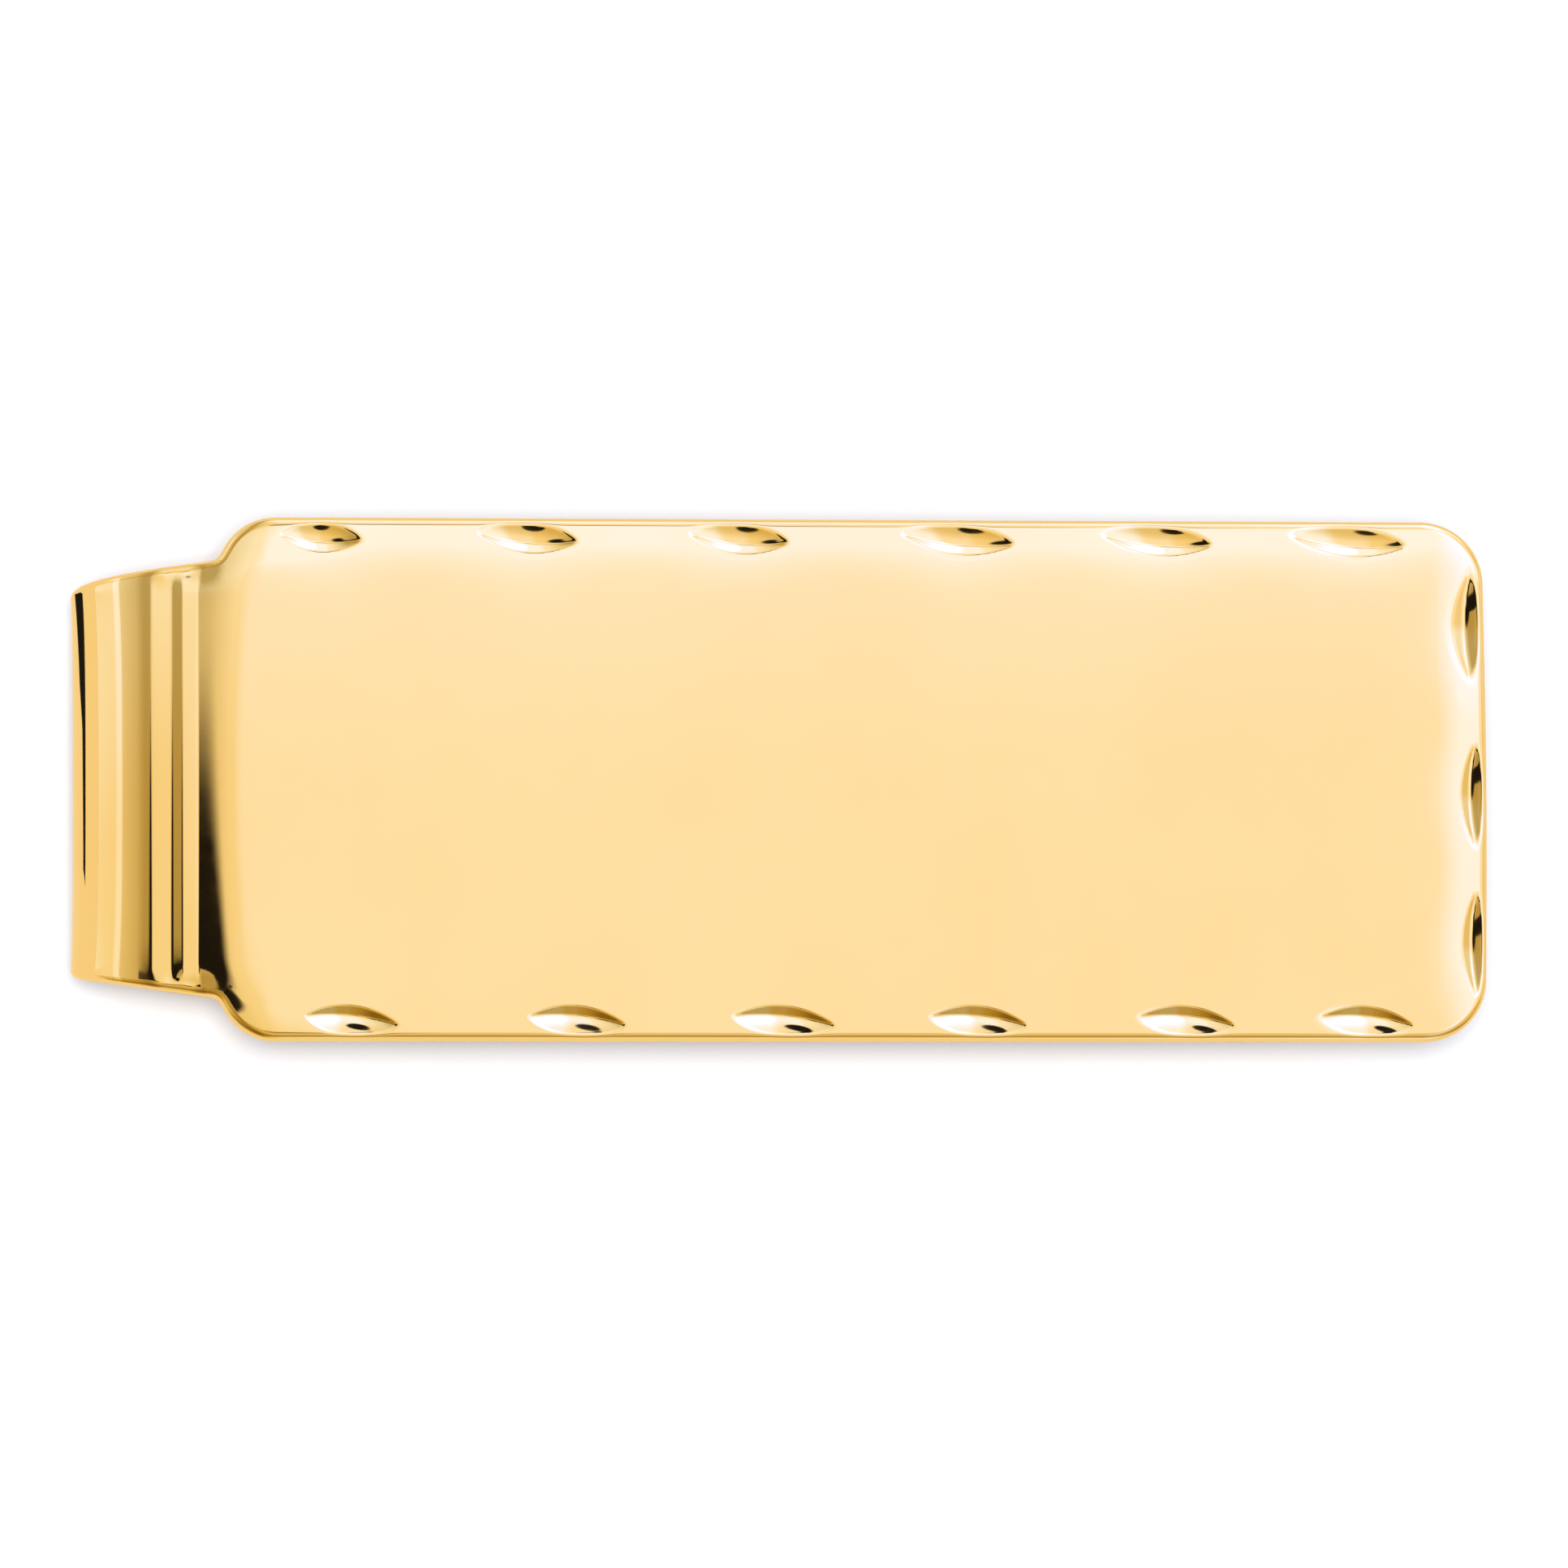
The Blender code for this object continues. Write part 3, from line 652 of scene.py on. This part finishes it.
def arm_blank():
    """The arm laid flat: tapering strip, and the wings that become flanges and ears."""
    tip = arm_line()[0][-1]
    ear_centre = (AXIS_X, across_at_height(AXIS_Z))
    knee = Vector((FLANGE_KNEE_X - AXIS_X, across_at_height(FLANGE_KNEE_Z) - ear_centre[1]))
    ear_start = math.atan2(knee.y, knee.x) + math.acos(EAR_RADIUS / knee.length)
    ear_end = TURN - math.acos((EAR_FOOT_X - AXIS_X) / EAR_RADIUS)
    rise_half_width = (ARM_HALF_WIDTH + ARM_TIP_HALF_WIDTH) / 2
    upper = rounded_outline([
        (tip, 0, 0),
        (tip, ARM_TIP_HALF_WIDTH, ARM_TIP_CORNER_RADIUS),
        (ARM_RISE_START_X, rise_half_width, ARM_TAPER_RADIUS),
        (FLANGE_END_X + FLANGE_RUN_OUT, ARM_HALF_WIDTH, FLANGE_END_RADIUS),
        (FLANGE_KNEE_X, across_at_height(FLANGE_KNEE_Z), FLANGE_KNEE_RADIUS),
        (AXIS_X + EAR_RADIUS, ear_centre[1] + EAR_RADIUS, 0),
    ])[:-1]
    upper += arc(ear_centre, EAR_RADIUS, ear_start, ear_end)
    upper += rounded_outline([
        (EAR_FOOT_X, ear_centre[1] - EAR_RADIUS, 0),
        (EAR_FOOT_X, FOLD_START + EAR_RELIEF, EAR_RELIEF_RADIUS),
        (EAR_FOOT_X + EAR_RELIEF_WIDTH, FOLD_START, 0),
        (EAR_FOOT_X + EAR_RELIEF_WIDTH, 0, 0),
    ])[1:-1]
    return upper + [(x, -y) for x, y in reversed(upper) if y > 1e-9]


def make_rear_arm(gold, edge_gold):
    bore = across_at_height(AXIS_Z)
    loops = [arm_blank()]
    loops += [hole((AXIS_X, side * bore), PIN_RADIUS + GAP) for side in (1, -1)]
    loops += [hole((place, 0), RIVET_RADIUS + GAP) for place in RIVET_PLACES]
    tip = arm_line()[0][-1]
    columns = np.arange(EAR_FOOT_X - 3.5, tip - ARM_GRID, ARM_GRID)
    strip_rows = np.linspace(0, FOLD_START - 0.1, 8)
    fold_rows = np.linspace(FOLD_START, WALL_START, 8)
    wall_rows = np.arange(WALL_START + 0.3, bore + EAR_RADIUS, ARM_WALL_GRID)
    rows = np.concatenate([strip_rows, fold_rows, wall_rows])
    rows = np.concatenate([-rows[:0:-1], rows])
    grid = np.stack(np.meshgrid(columns, rows), axis=-1).reshape(-1, 2)

    def spacing(x, y):
        at_bore = np.hypot(x - AXIS_X, np.abs(y) - bore) < 1.0
        return np.where(at_bore, ARM_BORE_SPACING, ARM_SPACING)

    piece = sheet_piece("rear_arm_strip", loops, ARM_SHEET / 2, (ARM_EDGE_RADIUS, ARM_EDGE_RADIUS), spacing,
                        everywhere(ARM_RIM_DEPTH), grid, bend_arm, rows=1, margin=0.06)
    return finished(piece, "arm", "rear_arm", [gold, edge_gold])


# ---------------------------------------------------------------- hinge and spring

def make_leaf_spring(steel, edge_steel):
    outline = rounded_outline(mirrored_corners([
        (SPRING_HIGH.x, SPRING_HIGH.y, SPRING_CORNER_RADIUS),
        (SPRING_LOW.x, SPRING_HIGH.y, SPRING_CORNER_RADIUS),
    ]))
    loops = [outline] + [hole((place, 0), RIVET_RADIUS + GAP) for place in RIVET_PLACES]
    columns = np.arange(SPRING_LOW.x + 0.5, SPRING_HIGH.x, SPRING_GRID)
    rows = np.linspace(-2.8, 2.8, 8)
    grid = np.stack(np.meshgrid(columns, rows), axis=-1).reshape(-1, 2)
    middle_z = (SPRING_LOW.z + SPRING_HIGH.z) / 2
    piece = sheet_piece(
        "leaf_spring_strip", loops, SPRING_SHEET / 2, (SMALL_EDGE_RADIUS, SMALL_EDGE_RADIUS),
        everywhere(SPRING_SPACING), everywhere(SPRING_RIM_DEPTH), grid,
        lambda x, y, height: (x, y, height + middle_z), rows=1)
    return finished(piece, "arm", "leaf_spring", [steel, edge_steel])


def make_hinge_block(brass):
    """Knuckle with rounded ends: its outline is drawn in X and Z, and its length runs along Y."""
    axis = (AXIS_X, AXIS_Z)
    flat_half_angle = math.acos((CAM_RADIUS - CAM_LIFT) / CAM_RADIUS)
    outline = arc(axis, BLOCK_HIGH.z - AXIS_Z, QUARTER, BLOCK_BACK_ANGLE)
    outline += arc(axis, CAM_RADIUS, BLOCK_BACK_ANGLE, 3 * QUARTER - flat_half_angle)
    outline += arc(axis, CAM_RADIUS, 3 * QUARTER + flat_half_angle, TURN)
    outline += [
        (AXIS_X + CAM_RADIUS, BLOCK_FOOT_Z),
        (BLOCK_HIGH.x, BLOCK_FOOT_Z),
        (BLOCK_HIGH.x, BLOCK_HIGH.z),
    ]
    loops = [softened(outline, BLOCK_CORNER_SOFTENING), hole(axis, PIN_RADIUS + GAP)]
    no_grid = np.empty((0, 2))
    piece = sheet_piece(
        "hinge_block_knuckle", loops, BLOCK_HIGH.y, (SMALL_EDGE_RADIUS, SMALL_EDGE_RADIUS),
        everywhere(BLOCK_SPACING), everywhere(BLOCK_RIM_DEPTH), no_grid,
        lambda x, z, height: (x, -height, z), rows=1, wall_rows=12)
    return finished(piece, "front", "hinge_block", [brass, brass])


def make_hinge_pin(brass):
    """A straight pin with peened, slightly domed heads outside the ears."""
    top = PIN_HIGH.y
    head_radius = PIN_HIGH.z - AXIS_Z
    shank = ARM_HALF_WIDTH + GAP
    dome = [(head_radius * math.sin(a), top - PIN_DOME_HEIGHT * (1 - math.cos(a)))
            for a in np.linspace(0, PIN_DOME_END, 9)]
    rim = [
        (head_radius, shank + PIN_RIM_HEIGHT),
        (head_radius, shank + PIN_BEVEL),
        (head_radius - PIN_BEVEL, shank),
    ]
    upper = dome + rim + [(PIN_RADIUS, shank)]
    pin = turned_piece("hinge_pin_turned", upper + [(radius, -height) for radius, height in reversed(upper)])
    pin.location = (AXIS_X * MM, 0, AXIS_Z * MM)
    pin.rotation_euler.x = QUARTER
    return finished(pin, "front", "hinge_pin", [brass])


def make_rivets(brass):
    for number, place in enumerate(RIVET_PLACES, 1):
        low, high = box_in_mm(f"spring_rivet_{number}")
        seat = high.z - RIVET_HEAD_HEIGHT
        dome = [(RIVET_HEAD_RADIUS * math.sin(a), seat + RIVET_HEAD_HEIGHT * math.cos(a))
                for a in np.linspace(0, QUARTER, 14)]
        foot = [
            (RIVET_RADIUS, seat),
            (RIVET_RADIUS, low.z + RIVET_FOOT_BEVEL),
            (RIVET_RADIUS - RIVET_FOOT_BEVEL, low.z),
            (0, low.z),
        ]
        rivet = turned_piece(f"spring_rivet_{number}_turned", dome + foot)
        rivet.location.x = place * MM
        finished(rivet, "arm", f"spring_rivet_{number}", [brass])


# ---------------------------------------------------------------- shader nodes

def linked(tree, value, socket):
    """Feeds a socket from another socket, or sets it to a number or a colour."""
    if isinstance(value, bpy.types.NodeSocket):
        tree.links.new(value, socket)
    else:
        socket.default_value = value


def maths(tree, operation, first, second=0.0):
    made = tree.nodes.new("ShaderNodeMath")
    made.operation = operation
    linked(tree, first, made.inputs[0])
    linked(tree, second, made.inputs[1])
    return made.outputs[0]


def hypotenuse(tree, across, up):
    squares = maths(tree, "ADD", maths(tree, "MULTIPLY", across, across), maths(tree, "MULTIPLY", up, up))
    return maths(tree, "SQRT", squares)


def step_between(tree, value, low, high, from_value=0.0, to_value=1.0):
    """from_value below low, to_value above high, and a smooth change between them."""
    made = tree.nodes.new("ShaderNodeMapRange")
    made.interpolation_type = "SMOOTHSTEP"
    for name, amount in (("Value", value), ("From Min", low), ("From Max", high), ("To Min", from_value),
                         ("To Max", to_value)):
        linked(tree, amount, made.inputs[name])
    return made.outputs["Result"]


def mixed(tree, share, first, second, blend="MIX"):
    """A mix of two colours; the Mix node keeps its colour sockets behind those for numbers and vectors."""
    made = tree.nodes.new("ShaderNodeMix")
    made.data_type = "RGBA"
    made.blend_type = blend
    first_colour, second_colour = made.inputs[6:8]
    linked(tree, share, made.inputs["Factor"])
    linked(tree, first, first_colour)
    linked(tree, second, second_colour)
    return made.outputs[2]


def ramp(tree, value, stops):
    """A colour ramp over -90 to 90 degrees."""
    made = tree.nodes.new("ShaderNodeValToRGB")
    linked(tree, maths(tree, "DIVIDE", maths(tree, "ADD", value, 90.0), 180.0), made.inputs["Fac"])
    elements = made.color_ramp.elements
    while len(elements) < len(stops):
        elements.new(0.5)
    for element, (angle, colour) in zip(elements, stops):
        element.position = (angle + 90) / 180
        element.color = (*colour, 1)
    return made.outputs["Color"]


def noise(tree, scale, detail, stretch=(1, 1, 1)):
    """Noise in millimetres; stretch scales each axis, so that a small number draws long marks."""
    place = tree.nodes.new("ShaderNodeTexCoord")
    mapping = tree.nodes.new("ShaderNodeMapping")
    mapping.inputs["Scale"].default_value = [s / MM for s in stretch]
    tree.links.new(place.outputs["Object"], mapping.inputs["Vector"])
    made = tree.nodes.new("ShaderNodeTexNoise")
    made.inputs["Scale"].default_value = scale
    made.inputs["Detail"].default_value = detail
    tree.links.new(mapping.outputs["Vector"], made.inputs["Vector"])
    return made.outputs["Fac"]


def bumped(tree, height, depth, onto=None):
    """Bumps of the depth in millimetres, on top of earlier ones where given."""
    made = tree.nodes.new("ShaderNodeBump")
    made.inputs["Strength"].default_value = 1.0
    made.inputs["Distance"].default_value = depth * MM
    linked(tree, height, made.inputs["Height"])
    if onto:
        tree.links.new(onto, made.inputs["Normal"])
    return made.outputs["Normal"]


def metal(name, colour, other_colour, patches, roughness, marks):
    """A metal whose colour drifts between two tones in patches, with roughness and bumps from marks.

    patches is the scale of the colour's noise, roughness its lowest and highest value, and marks are the
    bump noises as (scale, stretch, depth in millimetres), the coarsest first.
    """
    material = bpy.data.materials.new(name)
    material.use_nodes = True
    tree = material.node_tree
    shader = tree.nodes["Principled BSDF"]
    shader.inputs["Metallic"].default_value = 1
    drift = step_between(tree, noise(tree, patches, detail=3.0), 0.35, 0.65)
    tree.links.new(mixed(tree, drift, (*colour, 1), (*other_colour, 1)), shader.inputs["Base Color"])
    coarsest_scale, coarsest_stretch, _ = marks[0]
    haze = noise(tree, coarsest_scale, detail=4.0, stretch=coarsest_stretch)
    tree.links.new(step_between(tree, haze, 0.3, 0.7, *roughness), shader.inputs["Roughness"])
    normal = None
    for scale, stretch, depth in marks:
        normal = bumped(tree, noise(tree, scale, detail=3.0, stretch=stretch), depth, normal)
    tree.links.new(normal, shader.inputs["Normal"])
    return material


def make_metals():
    gold = metal(
        "polished_gold", colour=(1.0, 0.745, 0.37), other_colour=(1.0, 0.725, 0.35), patches=0.12,
        roughness=(0.03, 0.06), marks=[(0.9, (1, 1, 1), 0.00012), (9.0, (0.12, 1, 1), 0.00002)])
    edge_gold = metal(
        "blanked_edge_gold", colour=(0.98, 0.70, 0.30), other_colour=(0.86, 0.57, 0.20), patches=1.5,
        roughness=(0.10, 0.28), marks=[(9.0, (1, 1, 0.12), 0.012), (22.0, (1, 1, 0.5), 0.004)])
    brass = metal(
        "turned_brass", colour=(0.90, 0.66, 0.30), other_colour=(0.80, 0.55, 0.22), patches=0.8,
        roughness=(0.14, 0.30), marks=[(6.0, (0.3, 1, 1), 0.002), (20.0, (1, 1, 1), 0.0006)])
    steel = metal(
        "spring_steel", colour=(0.60, 0.60, 0.62), other_colour=(0.50, 0.51, 0.54), patches=0.5,
        roughness=(0.18, 0.34), marks=[(8.0, (0.05, 1, 1), 0.002), (25.0, (1, 1, 1), 0.0006)])
    return gold, edge_gold, brass, steel


# ---------------------------------------------------------------- the light tent

WHITE = (1.0, 1.0, 1.0)
COOL = (1.05, 1.22, 1.95)
CREAM = (1.0, 0.97, 0.88)
WARM = (1.0, 0.95, 0.80)
PALE_GOLD = (0.95, 0.86, 0.59)
MID_GOLD = (0.80, 0.69, 0.38)
DEEP_GOLD = (0.66, 0.54, 0.25)
BROWN = (0.48, 0.37, 0.13)
DARK = (0.012, 0.01, 0.008, 1)

# The light that the floor gets from the tent, the backdrop, and the floor as the camera and the metal see it
FLOOR_SKY = (0.36, 0.40, 0.48, 1)
BACKGROUND = (0.9, 0.9, 0.9, 1)
FLOOR_COLOUR = (0.9, 0.9, 0.9, 1)
FLOOR_IN_METAL = (0.77, 0.65, 0.39, 1)
FLOOR_REACH = 4.0
FLOOR_TOP = -0.02 * MM

# The overhead lamp, in metres and watts
LAMP_PLACE = (-0.21, -0.13, 3.0)
LAMP_SIZE = 0.95
LAMP_POWER = 77.0

# The black card that the roll reflects: corners as distance from the hinge end and Y, in millimetres
FLAG_COLOUR = (0.01, 0.01, 0.01, 1)
FLAG_CORNERS = ((-2.4, 7.7), (-7.8, 7.7), (-7.8, -3.1), (-5.9, -2.6), (-5.2, 2.5), (-3.8, 4.0))

# Tent colours by the angle from straight up, towards -X and +X, and towards -Y and +Y
TENT_ALONG_X = (
    (-90, PALE_GOLD), (-62, PALE_GOLD), (-60, WHITE), (-54, WHITE), (-52, MID_GOLD), (-34, DEEP_GOLD),
    (-25, BROWN), (-18, BROWN), (-10, MID_GOLD), (-3.5, PALE_GOLD), (-2, PALE_GOLD), (1, WHITE), (9, WHITE),
    (12.5, COOL), (22, COOL), (32, CREAM), (58, WARM), (64, MID_GOLD), (82, MID_GOLD), (88, WARM),
)
TENT_ALONG_Y = (
    (-90, PALE_GOLD), (-74, PALE_GOLD), (-66, BROWN), (-46, BROWN), (-38, MID_GOLD), (-20, MID_GOLD),
    (-13, CREAM), (-8, WHITE), (5, WHITE), (10.5, COOL), (22, COOL), (30, CREAM), (46, WARM), (54, COOL),
    (74, COOL), (84, WARM),
)

# Dark things beside the camera, in degrees of lean: panels as spans towards +X and +Y and softness in
# degrees, spots as centre, half size and softness as a share of that size
DARK_PANELS = (((-30.0, -12.0), (-4.5, 1.2), 0.3),)
DARK_SPOTS = (
    ((-13.5, 0.5), (6.5, 5.5), 0.28),
    ((-10.0, -6.8), (3.4, 3.9), 0.25),
    ((-1.0, -22.0), (4.3, 2.6), 0.15),
    ((2.5, 27.5), (5.0, 2.6), 0.15),
)


def tent_direction(tree):
    """How far a direction leans from straight up, in degrees towards +X and towards +Y."""
    place = tree.nodes.new("ShaderNodeTexCoord")
    parts = tree.nodes.new("ShaderNodeSeparateXYZ")
    tree.links.new(place.outputs["Generated"], parts.inputs[0])
    x, y, z = parts.outputs
    level = hypotenuse(tree, x, y)
    lean = maths(tree, "DEGREES", maths(tree, "ARCTAN2", level, z))
    scale = maths(tree, "DIVIDE", lean, maths(tree, "MAXIMUM", level, 1e-5))
    return maths(tree, "MULTIPLY", x, scale), maths(tree, "MULTIPLY", y, scale)


def spot_mask(tree, lean_x, lean_y, centre, half_size, softness):
    """1 inside an ellipse, 0 outside it, soft between."""
    across = maths(tree, "DIVIDE", maths(tree, "SUBTRACT", lean_x, centre[0]), half_size[0])
    up = maths(tree, "DIVIDE", maths(tree, "SUBTRACT", lean_y, centre[1]), half_size[1])
    return step_between(tree, hypotenuse(tree, across, up), 1 - softness, 1 + softness, 1.0, 0.0)


def within(tree, value, span, softness):
    """1 between the span's two ends and 0 outside them, soft between."""
    above = step_between(tree, value, span[0] - softness, span[0] + softness)
    below = step_between(tree, value, span[1] - softness, span[1] + softness, 1.0, 0.0)
    return maths(tree, "MULTIPLY", above, below)


def panel_mask(tree, lean_x, lean_y, span_x, span_y, softness):
    """1 inside a rectangle and 0 outside it, soft between."""
    across = within(tree, lean_x, span_x, softness)
    up = within(tree, lean_y, span_y, softness)
    return maths(tree, "MULTIPLY", across, up)


def make_tent():
    """Polished metal sees the tent's panels; the floor gets its plain white light."""
    world = bpy.data.worlds.new("light_tent")
    world.use_nodes = True
    tree = world.node_tree
    lean_x, lean_y = tent_direction(tree)
    along_x = ramp(tree, lean_x, TENT_ALONG_X)
    along_y = ramp(tree, lean_y, TENT_ALONG_Y)
    colour = mixed(tree, 1.0, along_x, along_y, "MULTIPLY")
    masks = [spot_mask(tree, lean_x, lean_y, *spot) for spot in DARK_SPOTS]
    masks += [panel_mask(tree, lean_x, lean_y, *panel) for panel in DARK_PANELS]
    for mask in masks:
        colour = mixed(tree, mask, colour, DARK)
    path = tree.nodes.new("ShaderNodeLightPath")
    colour = mixed(tree, path.outputs["Is Diffuse Ray"], colour, FLOOR_SKY)
    colour = mixed(tree, path.outputs["Is Camera Ray"], colour, BACKGROUND)
    tree.links.new(colour, tree.nodes["Background"].inputs["Color"])
    bpy.context.scene.world = world


def make_key_light():
    """A broad lamp overhead, a little towards the hinge end, that stays out of sharp reflections."""
    lamp = bpy.data.lights.new("overhead", "AREA")
    lamp.shape = "DISK"
    lamp.size = LAMP_SIZE
    lamp.energy = LAMP_POWER
    key = bpy.data.objects.new("overhead", lamp)
    bpy.context.scene.collection.objects.link(key)
    key.location = LAMP_PLACE
    key.rotation_euler = (-key.location).to_track_quat("-Z", "Y").to_euler()
    key.visible_glossy = False


def flat_sheet(name, corners, material_name, colour):
    """A flat, dull sheet in one colour, for the stage."""
    mesh = bpy.data.meshes.new(name)
    mesh.from_pydata(corners, [], [tuple(range(len(corners)))])
    sheet = bpy.data.objects.new(name, mesh)
    bpy.context.scene.collection.objects.link(sheet)
    material = bpy.data.materials.new(material_name)
    material.use_nodes = True
    shader = material.node_tree.nodes["Principled BSDF"]
    shader.inputs["Base Color"].default_value = colour
    shader.inputs["Roughness"].default_value = 1.0
    shader.inputs["Specular IOR Level"].default_value = 0.0
    mesh.materials.append(material)
    return sheet


def make_floor():
    """A plain pale floor, which polished metal sees a little darker and warmer than the camera does."""
    signs = ((-1, -1), (1, -1), (1, 1), (-1, 1))
    corners = [(x * FLOOR_REACH, y * FLOOR_REACH, FLOOR_TOP) for x, y in signs]
    floor = flat_sheet("floor", corners, "pale_floor", FLOOR_COLOUR)
    tree = floor.active_material.node_tree
    path = tree.nodes.new("ShaderNodeLightPath")
    tone = mixed(tree, path.outputs["Is Glossy Ray"], FLOOR_COLOUR, FLOOR_IN_METAL)
    tree.links.new(tone, tree.nodes["Principled BSDF"].inputs["Base Color"])


def make_flag():
    """A black card lying beside the hinge end, which shows only as a dark wedge in the roll's reflection."""
    corners = [((LEFT_END + x) * MM, y * MM, 0) for x, y in FLAG_CORNERS]
    flag = flat_sheet("flag", corners, "black_card", FLAG_COLOUR)
    flag.visible_camera = False
    flag.visible_diffuse = False
    flag.visible_shadow = False


def make_camera():
    lens = bpy.data.cameras.new("camera")
    lens.sensor_width = SENSOR_WIDTH
    lens.lens = SENSOR_WIDTH * CAMERA_DISTANCE / VIEW_WIDTH
    lens.clip_end = 20.0
    camera = bpy.data.objects.new("camera", lens)
    bpy.context.scene.collection.objects.link(camera)
    back = Vector((-math.tan(CAMERA_TILT_X), -math.tan(CAMERA_TILT_Y), 1)).normalized()
    across = (Vector((1, 0, 0)) - back * back.x).normalized()
    upward = back.cross(across)
    target = Vector((*VIEW_MIDDLE, PLATE_TOP))
    facing = Matrix((across, upward, back)).transposed() @ Matrix.Rotation(CAMERA_ROLL, 3, "Z")
    camera.matrix_world = Matrix.Translation((target + back * CAMERA_DISTANCE) * MM) @ facing.to_4x4()
    bpy.context.scene.camera = camera


def main():
    gold, edge_gold, brass, steel = make_metals()
    make_front_plate(gold, edge_gold)
    make_rear_arm(gold, edge_gold)
    make_leaf_spring(steel, steel)
    make_hinge_block(brass)
    make_hinge_pin(brass)
    make_rivets(brass)
    make_floor()
    make_flag()
    make_tent()
    make_key_light()
    make_camera()
    bpy.context.scene.view_settings.view_transform = "Standard"


main()
